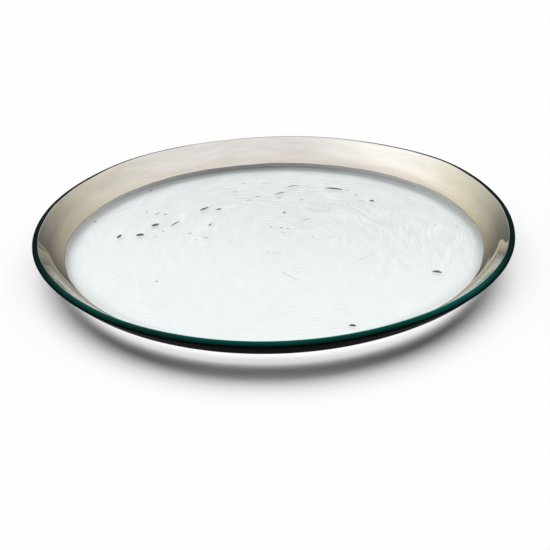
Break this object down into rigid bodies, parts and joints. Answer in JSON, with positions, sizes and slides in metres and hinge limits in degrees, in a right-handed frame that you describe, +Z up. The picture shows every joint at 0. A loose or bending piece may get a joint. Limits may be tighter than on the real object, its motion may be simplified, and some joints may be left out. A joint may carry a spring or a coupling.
{
  "type": "charger plate",
  "caption": "Round slumped clear glass charger plate with a flat well, a rising rim faced with a bright metal band, and a polished half-round edge.",
  "frame": {"origin": "centre of the flat underside, on the surface that the plate stands on", "axes": "+Z up along the plate's axis; the plate is round, so +X, to the right, and +Y, away from the viewer, are free choices"},
  "size_m": [0.33, 0.33, 0.0221],
  "materials": {
    "glass": "clear, faintly green, fire polished, with small seeds and faint swirls; deep green where seen through the edge",
    "band": "bright fired metal film, warm grey, slightly uneven"
  },
  "bodies": {
    "root": {"glass_plate": "glass", "metal_band": "band"}
  },
  "joints": []
}
